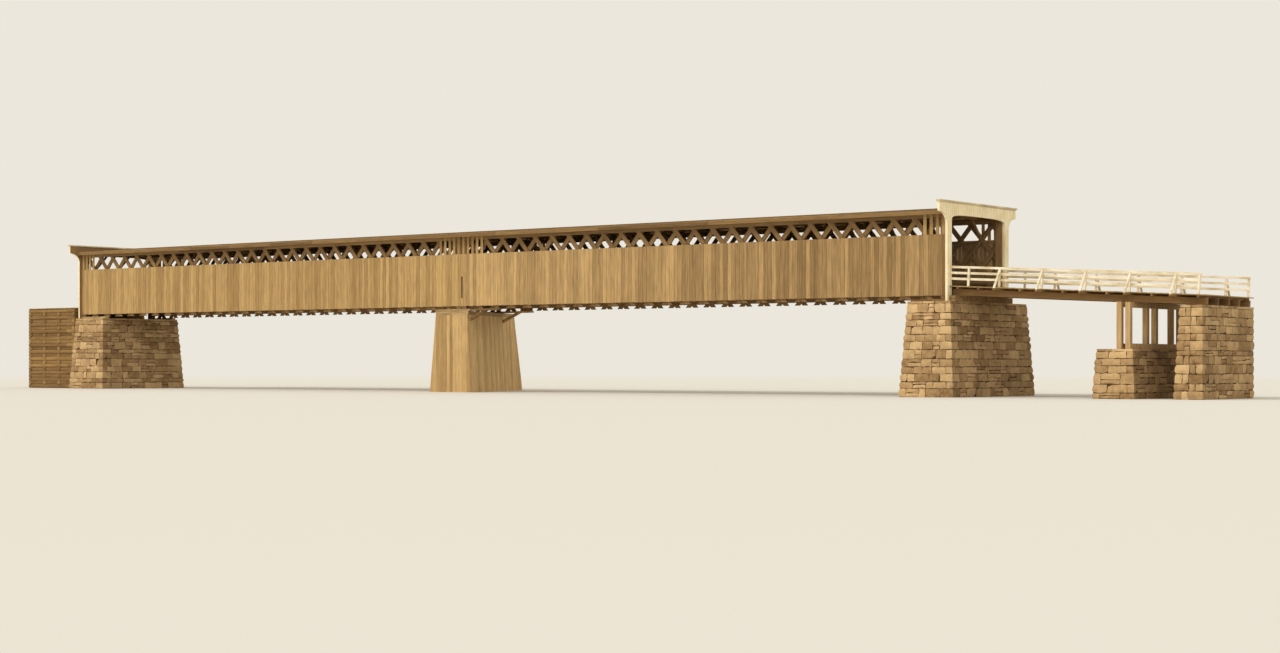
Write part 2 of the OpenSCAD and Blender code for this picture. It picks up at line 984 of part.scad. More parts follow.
// Stone fill, one block in each cell between the cross logs.
module far_crib_fill() {
    step = (crib_run - log_d) / (cross_logs - 1);
    color(stone)
        for (i = [0:cross_logs - 2]) {
            x = crib_x0 + log_d / 2 + i * step;
            box(
                x + log_d / 2, x + step - log_d / 2, -crib_y + log_d, crib_y - log_d,
                0, z_deck_under
            );
        }
}

module far_crib_deck() {
    color(dark_timber)
        box(crib_x0, x_far, -crib_y, crib_y, z_deck - deck_t, z_deck);
}

front_lattice_near();
front_lattice_far();
rear_lattice_near();
rear_lattice_far();
lower_chords();
top_chords();
truss_end_posts();
floor_beams();
floor_bracing();
roadway_deck();
wheel_guards();
tie_beams();
roof_bracing();
knee_braces();
rafters();
front_roof();
rear_roof();
roof_trim();
front_siding_near();
front_siding_far();
rear_siding_near();
rear_siding_far();
siding_rails();
clerestory_strips();
near_portal_posts();
near_portal_header();
far_portal_posts();
far_portal_header();
portal_cornices();
near_pier();
far_pier();
crib_pier();
crib_cap();
bed_timbers();
approach_stringers();
approach_cross_beams();
approach_deck();
front_railing();
rear_railing();
trestle_bent();
bent_footing();
shore_abutment();
far_crib_logs();
far_crib_fill();
far_crib_deck();
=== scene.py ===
import math

import bpy
import numpy as np
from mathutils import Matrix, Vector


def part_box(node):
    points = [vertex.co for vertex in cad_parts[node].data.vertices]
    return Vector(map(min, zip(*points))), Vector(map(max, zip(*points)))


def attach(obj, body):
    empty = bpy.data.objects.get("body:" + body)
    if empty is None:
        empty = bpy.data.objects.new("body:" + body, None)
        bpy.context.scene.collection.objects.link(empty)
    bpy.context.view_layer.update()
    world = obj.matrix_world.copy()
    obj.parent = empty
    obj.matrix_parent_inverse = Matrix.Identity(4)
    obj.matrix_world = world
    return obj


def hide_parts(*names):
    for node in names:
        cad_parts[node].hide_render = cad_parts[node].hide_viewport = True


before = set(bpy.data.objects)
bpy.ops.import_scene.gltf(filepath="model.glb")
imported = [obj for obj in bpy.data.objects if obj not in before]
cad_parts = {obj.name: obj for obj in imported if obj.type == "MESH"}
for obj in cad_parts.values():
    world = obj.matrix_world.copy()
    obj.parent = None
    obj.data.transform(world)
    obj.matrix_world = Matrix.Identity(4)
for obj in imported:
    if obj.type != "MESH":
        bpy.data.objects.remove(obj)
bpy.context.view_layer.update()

draw = np.random.default_rng(1859)  # play in cuts, faces and tones, the same in each run

# Stone piers, footing and abutment: coursed rubble of rock-faced blocks in lime mortar,
# laid with long and short quoins round the corners, and finished with flat bedded stones.
# The block faces stay inside the solid's planes, with a mortar core behind them.
COURSE = 0.044          # 0.44 m courses at full size
COURSE_PLAY = 0.25      # share of a course that its bed may stray
BLOCK = 0.084           # mean length of a block
BLOCK_PLAY = 0.36       # share of a block that its joint may stray
SPLIT = 0.22            # share of the places where two thin stones fill a course
THIN_STONE = (0.38, 0.62)  # share of the course that the lower one takes
QUOINS = (0.085, 0.042)  # long and short arm of a quoin
SHORT_WALL = 0.8        # where quoins would fill more of a wall than this share,
SHORT_QUOIN = 0.34      # each takes this share of it
TOP_SIZE = (0.10, 0.12)  # a bedded stone on top, along and across the bridge
TOP_PLAY = 0.28         # share of it that its joint may stray
TOP_THICK = 0.013
TOP_RELIEF = 0.1        # of a wall block's relief, as it is dressed flatter
GRID = (7, 6)           # columns and rows of points on a stone
BULGE = (0.0018, 0.0048)  # how far the middle of a stone swells
KNAPPING = (-0.0013, 0.0007)
LEAN = 0.0007           # how far a stone's face tilts at its rim
FLUSH = 0.0002          # the least that a stone lies behind the solid's face
JOINT = 0.0017          # half of a 34 mm mortar joint
RAGGED = 0.0021         # how far a block's outline strays
ARRIS_DEPTH = 0.0058    # how far a block's arris lies behind the solid's face
MORTAR_DEPTH = 0.0076   # the mortar's face behind the solid's
BED_DEPTH = 0.0105      # a block's rim behind it, sunk in the mortar
MOTTLE = 0.03
PITS = 0.005
PIT_DEPTH = 0.0016
GRIME = 0.2             # size of the patches of grime
SAME = 1e-5             # points this close lie in one plane
STONE_LIGHT = "#d7b481"
STONE_DARK = "#8f6d44"
# Painted shade: the value that faces looking along the bridge are darkened to
SHADED_SIDE_VALUE = 0.78             # value left on the sides that the bridge shades
MORTAR = "#5a442c"


def linear(code):
    """sRGB hex to linear: a share of 12.92 below 0.04045, and a power of 2.4 above."""
    s = np.array([int(code[i:i + 2], 16) for i in (1, 3, 5)]) / 255
    rgb = np.where(s <= 0.04045, s / 12.92, ((s + 0.055) / 1.055) ** 2.4)
    return (*rgb.tolist(), 1.0)


def add(tree, kind, sockets=None, **settings):
    """Adds a node: settings are its properties, sockets its inputs by name or number,
    and each input is a value or the output that feeds it."""
    made = tree.nodes.new(kind)
    for name, value in settings.items():
        setattr(made, name, value)
    for name, value in (sockets or {}).items():
        if isinstance(value, bpy.types.NodeSocket):
            tree.links.new(value, made.inputs[name])
        else:
            made.inputs[name].default_value = value
    return made


def dry_surface(name, roughness):
    """A dry, non-metallic surface. Returns its material, node tree and shader."""
    made = bpy.data.materials.new(name)
    made.use_nodes = True
    shader = made.node_tree.nodes["Principled BSDF"]
    shader.inputs["Roughness"].default_value = roughness
    shader.inputs["Specular IOR Level"].default_value = 0.25
    return made, made.node_tree, shader


def stone_material(name, light, dark):
    """Quarry-faced stone: each block has a tone of its own, mottled over about 30 mm and
    pitted over about 5 mm. The real grit is finer than the view can show. Faces that look
    along the bridge are darker, as painted shade for the sides under the bridge."""
    made, tree, shader = dry_surface(name, 0.92)
    found = add(tree, "ShaderNodeTexCoord")
    place = found.outputs["Object"]
    tone = add(tree, "ShaderNodeAttribute", attribute_name="tone").outputs["Fac"]
    mottle = add(tree, "ShaderNodeTexNoise", {"Vector": place, "Scale": 1 / MOTTLE, "Detail": 5.0,
                 "Roughness": 0.65}).outputs["Fac"]
    pits = add(tree, "ShaderNodeTexNoise", {"Vector": place, "Scale": 1 / PITS, "Detail": 4.0,
               "Roughness": 0.7}).outputs["Fac"]
    mixed = add(tree, "ShaderNodeMath", {0: tone, 1: 0.7, 2: mottle}, operation="MULTIPLY_ADD")
    share = add(tree, "ShaderNodeMapRange", {"Value": mixed.outputs[0], "From Min": 0.4,
                "From Max": 1.2})
    base = add(tree, "ShaderNodeMix", {0: share.outputs[0], 6: linear(dark), 7: linear(light)},
               data_type="RGBA")
    grime = add(tree, "ShaderNodeTexNoise", {"Vector": place, "Scale": 1 / GRIME, "Detail": 3.0})
    shade = add(tree, "ShaderNodeMapRange", {"Value": grime.outputs["Fac"], "From Min": 0.3,
                "From Max": 0.7, "To Min": 0.82, "To Max": 1.08})
    # Painted shade: faces whose normal runs along x are darkened
    facing = add(tree, "ShaderNodeSeparateXYZ", {0: found.outputs["Normal"]})
    along = add(tree, "ShaderNodeMath", {0: facing.outputs[0]}, operation="ABSOLUTE")
    damp_and_painted_shade = add(tree, "ShaderNodeMapRange", {"Value": along.outputs[0], "From Min": 0.6,
               "From Max": 0.9, "To Min": 1.0, "To Max": SHADED_SIDE_VALUE})
    value = add(tree, "ShaderNodeMath", {0: shade.outputs[0], 1: damp_and_painted_shade.outputs[0]},
                operation="MULTIPLY")
    color = add(tree, "ShaderNodeHueSaturation", {"Color": base.outputs[2],
                "Value": value.outputs[0]})
    tree.links.new(color.outputs[0], shader.inputs["Base Color"])
    rough = add(tree, "ShaderNodeBump", {"Height": pits, "Distance": PIT_DEPTH, "Strength": 0.9})
    tree.links.new(rough.outputs[0], shader.inputs["Normal"])
    return made


def piece(name, points, faces, materials, tone=None, part=None):
    """Puts arrays of points and faces into an object at the origin. tone is a number for
    each point, and part the number of each face's material."""
    mesh = bpy.data.meshes.new(name)
    mesh.from_pydata(np.reshape(points, (-1, 3)).tolist(), [], faces)
    for each in materials:
        mesh.materials.append(each)
    if tone is not None:
        values = np.ascontiguousarray(np.ravel(tone), np.float32)
        mesh.attributes.new("tone", "FLOAT", "POINT").data.foreach_set("value", values)
    if part is not None:
        mesh.polygons.foreach_set("material_index", np.ascontiguousarray(part, np.int32))
    mesh.update()
    made = bpy.data.objects.new(name, mesh)
    bpy.context.scene.collection.objects.link(made)
    return made


def solid_points(node):
    """The points of a solid's mesh, in rows of x, y and z."""
    return np.array([v.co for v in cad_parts[node].data.vertices])


def plan_corners(node):
    """The corners of a pier's foot and top, each as four points anticlockwise from the
    front far corner, read from its solid."""
    found = []
    co = solid_points(node)
    for z in (co[:, 2].min(), co[:, 2].max()):
        level = np.unique(co[abs(co[:, 2] - z) < SAME].round(5), axis=0)
        middle = level.mean(0)
        angle = np.arctan2(level[:, 1] - middle[1], level[:, 0] - middle[0])
        found.append(level[np.argsort(angle)])
    return found


def wall_points(foot, top, s, height, out):
    """Points on a battered wall. s counts sides and shares of a side from the front far
    corner, height runs from 0 at the foot to 1 at the top, and out is the distance past
    the wall's plane, mitred at the corners."""
    edge = np.roll(foot, -1, 0)[:, :2] - foot[:, :2]
    normal = np.stack([edge[:, 1], -edge[:, 0]], 1) / np.linalg.norm(edge, axis=1)[:, None]
    before = np.roll(normal, 1, 0)
    mitre = (normal + before) / (1 + (normal * before).sum(1))[:, None]
    side = np.floor(s).astype(int)
    share = (s - side)[..., None]
    here, there = side % 4, (side + 1) % 4
    rise = height[..., None]
    point = ((foot[here] * (1 - rise) + top[here] * rise) * (1 - share)
             + (foot[there] * (1 - rise) + top[there] * rise) * share)
    point[..., :2] += out[..., None] * (mitre[here] * (1 - share) + mitre[there] * share)
    return point


def grid_faces(count, columns, rows):
    """Quads of count grids that each number their points row by row, with one face of the
    whole rim to close the back. Grids face the viewer who sees columns run to the right."""
    c, r = np.meshgrid(np.arange(columns - 1), np.arange(rows - 1))
    low = (r * columns + c).ravel()
    quads = np.stack([low, low + 1, low + 1 + columns, low + columns], 1)
    last = rows * columns - 1
    rim = np.concatenate([
        np.arange(columns - 1), np.arange(columns - 1, last, columns),
        np.arange(last, last - columns + 1, -1), np.arange(last - columns + 1, 0, -columns)])[::-1]
    start = np.arange(count)[:, None] * rows * columns
    quads = (quads[None] + start[..., None]).reshape(-1, 4)
    return quads.tolist() + (rim[None] + start).tolist()


def course_blocks(lengths, odd):
    """Blocks of one course, as rows of (start, end, corner in the block or none): quoins
    turn each corner with their long arms on alternate sides, and the rest is shared out
    between them with some play."""
    joints = []
    for side, length in enumerate(lengths):
        first, last = QUOINS if (side + odd) % 2 else QUOINS[::-1]
        if first + last > SHORT_WALL * length:
            first = last = SHORT_QUOIN * length
        count = max(1, round((length - first - last) / BLOCK))
        cuts = np.linspace(first, length - last, count + 1)
        play = BLOCK_PLAY * (cuts[1] - cuts[0])
        cuts[1:-1] += draw.uniform(-play, play, count - 1)
        joints += (side + cuts / length).tolist()
    ends = joints[1:] + [joints[0] + 4]
    return [(a, b, math.ceil(a) if math.ceil(a) < b else None) for a, b in zip(joints, ends)]


def rock_faces(n):
    """Depth and straying of n stones, each a grid of 7 columns by 6 rows. A face bulges as
    one less the fourth power of the distance from its middle, leans and is knapped a
    little, and its outermost ring lies in the bed."""
    u = np.array([-1, -1, -0.5, 0, 0.5, 1, 1])
    v = np.array([-1, -1, -0.33, 0.33, 1, 1])[:, None]
    out = (1 - u ** 4) * (1 - v ** 4) * draw.uniform(*BULGE, (n, 1, 1)) - ARRIS_DEPTH
    out += draw.uniform(*KNAPPING, (n, *GRID[::-1]))
    lean = draw.normal(0, LEAN, (2, n, 1, 1))
    out = np.minimum(out + lean[0] * u + lean[1] * v, -FLUSH)
    stray = draw.uniform(-RAGGED, RAGGED, (2, n, 4, 5))
    return out, np.pad(stray, ((0, 0), (0, 0), (1, 1), (1, 1)), mode="edge")


# The rim of a stone's grid, and the shares of its height and length where rows and
# columns lie. Rim and arris share a place, at different depths.
BED_RING = np.ones(GRID[::-1], bool)
BED_RING[1:-1, 1:-1] = False
ROWS = np.array([0, 0, 0.33, 0.67, 1, 1])[None, :, None]
COLUMNS = np.array([0, 0, 0.25, 0.5, 0.75, 1, 1])[None, None, :]


def wall_stones(foot, top):
    """Blocks of the four battered walls, up to the top stones. Half of a block lies on
    each side of its turning line, which is the pier's corner in a quoin."""
    height = top[0, 2] - foot[0, 2]
    sides = np.linalg.norm(np.roll(foot, -1, 0) - foot, axis=1)
    last = 1 - TOP_THICK / height
    count = max(2, round(height * last / COURSE))
    beds = np.linspace(0, last, count + 1)
    beds[1:-1] += draw.uniform(-COURSE_PLAY, COURSE_PLAY, count - 1) * last / count
    stones = []
    for k in range(count):
        for a, b, corner in course_blocks(sides, k % 2):
            levels = [beds[k], beds[k + 1]]
            if corner is None and draw.random() < SPLIT:
                levels.insert(1, levels[0] + draw.uniform(*THIN_STONE) * (levels[1] - levels[0]))
            stones += [(a, b, (a + b) / 2 if corner is None else corner, low, high)
                       for low, high in zip(levels, levels[1:])]
    start, end, turn, low, high = np.array(stones).T
    out, stray = rock_faces(len(stones))
    stray[0, :, :, 3] = 0
    start = start + JOINT / sides[np.floor(start).astype(int) % 4]
    end = end - JOINT / sides[np.floor(end - 1e-9).astype(int) % 4]
    across = np.stack([start, start, (start + turn) / 2, turn, (turn + end) / 2, end, end], 1)
    across = across[:, None] + stray[0] / sides[np.floor(across).astype(int) % 4][:, None]
    low, high = (low + JOINT / height)[:, None, None], (high - JOINT / height)[:, None, None]
    up = np.clip(low + ROWS * (high - low) + stray[1] / height, 0, last)
    return wall_points(foot, top, across, up, np.where(BED_RING, -BED_DEPTH, out))


def top_stones(corners):
    """Flat stones bedded over a pier's top, in rows across it. Their place is a share along
    two opposite sides of the top and a share from one side to the other."""
    size = np.abs(corners[2] - corners[0])[:2]
    along, rows = (max(2, round(size[i] / TOP_SIZE[i])) for i in (0, 1))
    stones = []
    for row in range(rows):
        cuts = np.linspace(0, 1, along + 1)
        cuts[1:-1] += draw.uniform(-TOP_PLAY, TOP_PLAY, along - 1) / along
        stones += [(a, b, row / rows, (row + 1) / rows) for a, b in zip(cuts, cuts[1:])]
    left, right, front, rear = np.array(stones).T[..., None, None]
    out, stray = rock_faces(len(stones))
    gap = JOINT / size
    a = left + gap[0] + COLUMNS * (right - left - 2 * gap[0]) + stray[0] / size[0]
    b = front + gap[1] + ROWS * (rear - front - 2 * gap[1]) + stray[1] / size[1]
    a, b = np.clip(a, 0, 1)[..., None], np.clip(b, 0, 1)[..., None]
    points = ((1 - b) * ((1 - a) * corners[0] + a * corners[1])
              + b * ((1 - a) * corners[3] + a * corners[2]))
    points[..., 2] += np.where(BED_RING, -TOP_THICK, TOP_RELIEF * out)
    return points


def core_block(foot, top, depth, level, base):
    """The body behind a pier's facing: its corners, drawn in by depth, at the foot and at a
    share level of its height. base is the number of its first point. Its faces are four
    sides, the underside and the top."""
    points = np.concatenate([
        wall_points(foot, top, np.arange(4.0), np.full(4, height), np.full(4, -depth))
        for height in (0.0, level)])
    faces = [[base + i, base + (i + 1) % 4, base + 4 + (i + 1) % 4, base + 4 + i]
             for i in range(4)]
    faces += [[base + 3, base + 2, base + 1, base], [base + 4, base + 5, base + 6, base + 7]]
    return points, faces


def masonry(name, node, materials):
    """Replaces a pier by its wall blocks and top stones over a mortar core, which ends half
    way up the top stones."""
    foot, top = plan_corners(node)
    walls = wall_stones(foot, top)
    flags = top_stones(wall_points(foot, top, np.arange(4.0), np.ones(4),
                                   np.full(4, -ARRIS_DEPTH / 2)))
    stones = np.concatenate([walls, flags])
    faces = grid_faces(len(stones), *GRID)
    level = 1 - 0.5 * TOP_THICK / (top[0, 2] - foot[0, 2])
    core, core_faces = core_block(foot, top, MORTAR_DEPTH, level, stones.size // 3)
    tone = np.repeat(draw.uniform(0, 1, len(stones)), GRID[0] * GRID[1])
    made = piece(name, np.concatenate([stones.reshape(-1, 3), core]), faces + core_faces,
                 materials, np.concatenate([tone, np.zeros(len(core))]),
                 np.concatenate([np.zeros(len(faces)), np.ones(len(core_faces))]))
    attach(made, "root")
    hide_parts(node)


rubble = stone_material("rock_faced_rubble", STONE_LIGHT, STONE_DARK)
mortar = stone_material("lime_mortar", MORTAR, "#463421")
for node in ("near_pier", "far_pier", "bent_footing", "shore_abutment"):
    masonry(node + "_stones", node, [rubble, mortar])


# Sawn and hewn timber: softwood left bare and browned by weather. Streaks run along the
# grain, patches of damp lie over them, and every piece has its own tone. The real grain
# is under a millimetre here, so the streaks are drawn as wide as the view can show.
def wood_material(name, light, dark, grain, member=None, first=(0, 0, 0), tones=0.55,
                  shade_beyond=None):
    """grain is the size in metres of a streak along each axis. member is the spacing of
    like pieces along each axis and first where one spacing starts: they get a tone each,
    and without them the tone is the mesh's own. tones is how far apart tones lie. The
    wood is darker past the station shade_beyond, towards the near end: painted shade."""
    made, tree, shader = dry_surface(name, 0.86)
    place = add(tree, "ShaderNodeTexCoord").outputs["Object"]
    if member is None:
        tone = add(tree, "ShaderNodeAttribute", attribute_name="tone").outputs["Fac"]
    else:
        cell = add(tree, "ShaderNodeMapping", {"Vector": place, "Location": first,
                   "Scale": member}, vector_type="TEXTURE")
        cell = add(tree, "ShaderNodeVectorMath", {0: cell.outputs[0]}, operation="FLOOR")
        tone = add(tree, "ShaderNodeTexWhiteNoise", {"Vector": cell.outputs[0]}).outputs["Value"]
    # Painted shade: past the station shade_beyond the tone drops by one, to the dark end
    if shade_beyond is not None:
        parts = add(tree, "ShaderNodeSeparateXYZ", {0: place})
        beyond = add(tree, "ShaderNodeMath", {0: parts.outputs[0], 1: shade_beyond},
                     operation="GREATER_THAN")
        tone = add(tree, "ShaderNodeMath", {0: tone, 1: beyond.outputs[0]},
                   operation="SUBTRACT").outputs[0]
    along = add(tree, "ShaderNodeMapping", {"Vector": place, "Scale": grain},
                vector_type="TEXTURE")
    streaks = add(tree, "ShaderNodeTexNoise", {"Vector": along.outputs[0], "Scale": 1.0,
                  "Detail": 6.0, "Roughness": 0.66}).outputs["Fac"]
    patch = add(tree, "ShaderNodeMapping", {"Vector": place,
                "Scale": tuple(0.18 * math.sqrt(g) for g in grain)}, vector_type="TEXTURE")
    damp_and_painted_shade = add(tree, "ShaderNodeTexNoise", {"Vector": patch.outputs[0], "Scale": 1.0,
               "Detail": 3.0}).outputs["Fac"]
    mixed = add(tree, "ShaderNodeMath", {0: tone, 1: tones, 2: streaks}, operation="MULTIPLY_ADD")
    share = add(tree, "ShaderNodeMapRange", {"Value": mixed.outputs[0], "From Min": 0.3,
                "From Max": 0.65 + tones})
    base = add(tree, "ShaderNodeMix", {0: share.outputs[0], 6: linear(dark), 7: linear(light)},
               data_type="RGBA")
    shade = add(tree, "ShaderNodeMapRange", {"Value": damp_and_painted_shade, "From Min": 0.3, "From Max": 0.7,
                "To Min": 0.84, "To Max": 1.1})
    color = add(tree, "ShaderNodeHueSaturation", {"Color": base.outputs[2],
                "Value": shade.outputs[0]})
    tree.links.new(color.outputs[0], shader.inputs["Base Color"])
    bump = add(tree, "ShaderNodeBump", {"Height": streaks, "Distance": 0.0006, "Strength": 0.8})
    tree.links.new(bump.outputs[0], shader.inputs["Normal"])
    return made


def dress(material, *nodes):
    """Gives CAD nodes their finish in the slots that they have."""
    for node in nodes:
        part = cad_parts[node]
        if not part.material_slots:
            part.data.materials.append(material)
        for place in part.material_slots:
            place.material = material


def bars(start, end, side, breadth, depth, bevel):
    """Planks with chamfered arrises, of 16 points each. Each runs from start to end, its
    breadth lies along side, and its depth is built up from that line on the hand of
    (end - start) x side. A chamfer is at most 0.4 of the half breadth or the depth."""
    start, end, side = (np.broadcast_to(a, (len(breadth), 3)).astype(float)
                        for a in (start, end, side))
    run = end - start
    run /= np.linalg.norm(run, axis=1)[:, None]
    up = np.cross(run, side)
    half, tall = breadth[:, None] / 2, np.broadcast_to(depth, len(breadth))[:, None]
    cut = np.minimum(bevel, 0.4 * np.minimum(half, tall))
    across = np.concatenate([cut - half, half - cut, half, half,
                             half - cut, cut - half, -half, -half], 1)
    above = np.concatenate([0 * cut, 0 * cut, cut, tall - cut,
                            tall, tall, tall - cut, cut], 1)
    ring = across[..., None] * side[:, None] + above[..., None] * up[:, None]
    points = np.stack([start[:, None] + ring, end[:, None] + ring], 1)
    j = np.arange(8)
    k = (j + 1) % 8
    sides = np.stack([j, k, k + 8, j + 8], 1)
    base = np.arange(len(breadth))[:, None] * 16
    quads = (sides[None] + base[..., None]).reshape(-1, 4).tolist()
    ends = (j[::-1][None] + base).tolist() + (j[None] + 8 + base).tolist()
    return points.reshape(-1, 3), quads + ends


def cut_up(length, mean, spread):
    """Shares a length out to boards of about a mean width. Returns their middles, from 0,
    and widths."""
    widths = draw.uniform(mean - spread, mean + spread, max(1, round(length / mean)))
    widths *= length / widths.sum()
    return np.cumsum(widths) - widths / 2, widths


# Middle pier: a crib sheathed with upright boards, 0.28 m wide and spiked edge to edge on
# all four sides. The boards' faces are the solid's faces, over a dark core, and those on the
# sides along the bridge are paler, as painted light on their shaded faces. Its stone filling shows
# on top.
SHEATH_BOARD = 0.028
SHEATH_SPREAD = 0.005   # how far a board's width strays
SHEATH_THICK = 0.004
SHEATH_GAP = 0.0011
SHEATH_PLAY = 0.0016    # how far a board may lie behind the solid's face
SHEATH_POINT = 0.02     # share of the height left to a board that a corner cuts to a point
CLOSE = 1e-6            # sets two stations apart for np.interp
CRIB_LIGHT = "#d3b077"
CRIB_DARK = "#967548"
# A paler copy of the boards for the two sides along the bridge: painted light
LIFTED_SIDE_LIGHT = "#ecca90"
LIFTED_SIDE_DARK = "#c19d67"
FILL_TONE = 0.6


def sheathing(foot, top):
    """Boards on the sides of a crib. A board's foot and head are where its upright edges
    meet the foot line, the top, or a corner that leans in or out, and its back is mitred
    there. Returns points, faces, each board's side, and a tone for each point."""
    quads, sides = [], []
    for i in range(4):
        a, b = foot[i], foot[(i + 1) % 4]
        along = (b - a) / np.linalg.norm(b - a)
        left, right = (top[i] - a) @ along, (top[(i + 1) % 4] - a) @ along
        length = np.linalg.norm(b - a)
        slope = (top[i] - a) - left * along
        first, last = min(0, left), max(length, right)
        middles, widths = cut_up(last - first, SHEATH_BOARD, SHEATH_SPREAD)
        half = (widths - SHEATH_GAP) / 2
        u = first + np.stack([middles - half, middles + half], 1)
        outward = np.cross(along, (0, 0, 1))
        play = draw.uniform(0, SHEATH_PLAY, len(u))[:, None, None] * outward
        for inset in (0, SHEATH_THICK):
            v = np.clip(u, first + inset, last - inset)
            mitre = np.array([inset, inset, -inset, -inset])
            foot_ends = mitre + [first - CLOSE, 0, length, last + CLOSE]
            head_ends = mitre + [0, max(left, CLOSE), min(right, length - CLOSE), length]
            tail = np.interp(v, foot_ends, [(1 - SHEATH_POINT) * (left < 0), 0, 0,
                                            (1 - SHEATH_POINT) * (right > length)])
            head = np.interp(v, head_ends, [1 if left < 0 else SHEATH_POINT, 1, 1,
                                            1 if right > length else SHEATH_POINT])
            low = a + v[..., None] * along + tail[..., None] * slope
            high = a + v[..., None] * along + head[..., None] * slope
            face = np.stack([low[:, 0], low[:, 1], high[:, 1], high[:, 0]], 1)
            quads.append(face - play - inset * outward)
        sides.append(np.full(len(u), i))
    points = np.concatenate([np.concatenate(pair, 1) for pair in zip(quads[::2], quads[1::2])])
    board = np.array([[0, 1, 2, 3], [7, 6, 5, 4], [1, 0, 4, 5],
                      [2, 1, 5, 6], [3, 2, 6, 7], [0, 3, 7, 4]])
    faces = (board[None] + np.arange(len(points))[:, None, None] * 8).reshape(-1, 4)
    sides = np.concatenate(sides)
    tone = np.repeat(draw.uniform(0, 1, len(sides)), 8)
    return points.reshape(-1, 3), faces.tolist(), sides, tone


foot, top = plan_corners("crib_pier")
points, faces, sides, tone = sheathing(foot, top)
core, core_faces = core_block(foot, top, SHEATH_THICK, 1.0, len(points))
# Boards on sides 1 and 3, which face along the bridge, take the paler copy: painted light
part = np.concatenate([np.repeat(2 * (sides % 2), 6), np.ones(5), [3]])
crib_boards = wood_material("weathered_crib_boards", CRIB_LIGHT, CRIB_DARK, (0.012, 0.012, 0.3))
crib_core = wood_material("crib_timber_in_shade", "#5c452a", "#3b2c1a", (0.02, 0.02, 0.2),
                          member=(0.03, 0.03, 1))
side_boards_painted_light = wood_material("crib_boards_painted_light", LIFTED_SIDE_LIGHT, LIFTED_SIDE_DARK,
                                 (0.012, 0.012, 0.3))
fill = stone_material("loose_stone_fill", "#a1804f", "#654a2b")
crib = piece("crib_pier_boards", np.concatenate([points, core]), faces + core_faces,
             [crib_boards, crib_core, side_boards_painted_light, fill],
             np.concatenate([tone, np.full(len(core), FILL_TONE)]), part)
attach(crib, "root")
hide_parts("crib_pier")

# Past x = 0.15 m, towards the near end where the struts are, these pieces are darker: painted
# shade under the wall
hewn = wood_material("hewn_cap_timber", "#dcbe87", "#765833", (0.2, 0.012, 0.012),
                     member=(0.6, 0.5, 1), tones=0.35, shade_beyond=0.15)
dress(hewn, "crib_cap", "bed_timbers")


# Far approach crib: flatted logs notched over each other, dark brown, with
# loose stone fill behind them and a plank road on top.
log_wood = wood_material("dark_flatted_logs", "#a8844f", "#6f5230", (0.25, 0.014, 0.014),
                         member=(2.0, 0.4, 0.032))
dress(log_wood, "far_crib_logs")
dress(fill, "far_crib_fill")

# Chinking: slabs split from the same logs and wedged into the gaps between them, a little
# behind the logs' faces, to hold the fill.
LOG = 0.032             # height of a log
LOG_COURSES = 23
SLAB = 0.012            # thickness of a slab
SLAB_PLAY = 0.003
SLAB_BEVEL = 0.003
SLAB_FIT = (-0.002, 0.001)  # how far a slab's height strays from its gap
SLAB_SHORT = 0.004      # how far it ends before the crib's corner
SLAB_SET_BACK = 0.007
low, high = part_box("far_crib_logs")
rise = (high.z - low.z - LOG) / (LOG_COURSES - 1)
inner = SLAB_SET_BACK + SLAB
slabs = []
for course in range(LOG_COURSES):
    z = low.z + LOG / 2 + course * rise
    if course % 2:
        slabs += [((low.x + SLAB_SHORT, y, z), (high.x - SLAB_SHORT, y, z), (0, 0, hand))
                  for y, hand in ((low.y + inner, 1), (high.y - inner, -1))]
    else:
        slabs += [((x, low.y + SLAB_SHORT, z), (x, high.y - SLAB_SHORT, z), (0, 0, hand))
                  for x, hand in ((low.x + inner, -1), (high.x - inner, 1))]
starts, ends, sides = np.array(slabs).swapaxes(0, 1)
count = len(slabs)
points, faces = bars(starts, ends, sides, 2 * rise - LOG + draw.uniform(*SLAB_FIT, count),
                     SLAB + draw.uniform(-SLAB_PLAY, SLAB_PLAY, count), SLAB_BEVEL)
slab_wood = wood_material("split_chinking_slabs", "#a07d4b", "#6b4f2e", (0.2, 0.2, 0.01))
chinking = piece("far_crib_chinking", points, faces, [slab_wood],
                 np.repeat(draw.uniform(0, 1, count), 16))
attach(chinking, "root")


# Trusses: sawn plank lattice, two layers leaning opposite ways, clasped by chord planks
# and end posts and pinned with oak trunnels. The two layers lie at different depths, so
# the grain turns with the distance from the middle of the road.
PITCH = 0.139           # spacing of the crossings along the bridge
ROW_RISE = 0.0828       # and from row to row
ROW_COUNT = 6
BAYS = (-28, 26)        # from the joint between the spans
JOINT_X = 0.072
FIRST_ROW = 0.580       # height of the lowest row
WEB = (0.318, 0.326, 0.334)  # faces of the two layers, from the middle of the road
CHORD = 0.008           # thickness of a chord plank
SAWN_LIGHT = "#a98758"
SAWN_DARK = "#694f31"
LATTICE_LIGHT = "#a07f53"
LATTICE_DARK = "#61492d"


